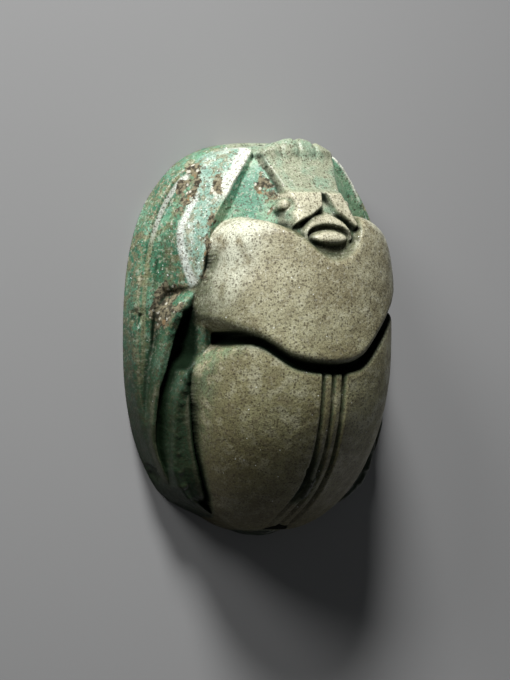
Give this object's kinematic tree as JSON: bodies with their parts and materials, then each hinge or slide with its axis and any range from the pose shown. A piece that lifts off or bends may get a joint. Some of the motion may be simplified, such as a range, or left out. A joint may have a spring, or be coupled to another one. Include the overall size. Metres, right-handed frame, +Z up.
{
  "type": "scarab amulet",
  "caption": "Small beetle carved in the round on an oval plinth, pierced lengthwise for a cord, with a flat underside.",
  "frame": {"origin": "centre of the flat underside, on the surface that the amulet lies on", "axes": "+Z up through the beetle's back, +Y towards its rear end, +X towards its left side"},
  "size_m": [0.0136, 0.0184, 0.0077],
  "materials": {
    "glazed_steatite": "satin, worn green glaze over pale brown stone"
  },
  "bodies": {
    "root": {"scarab_amulet": "glazed_steatite"}
  },
  "joints": []
}
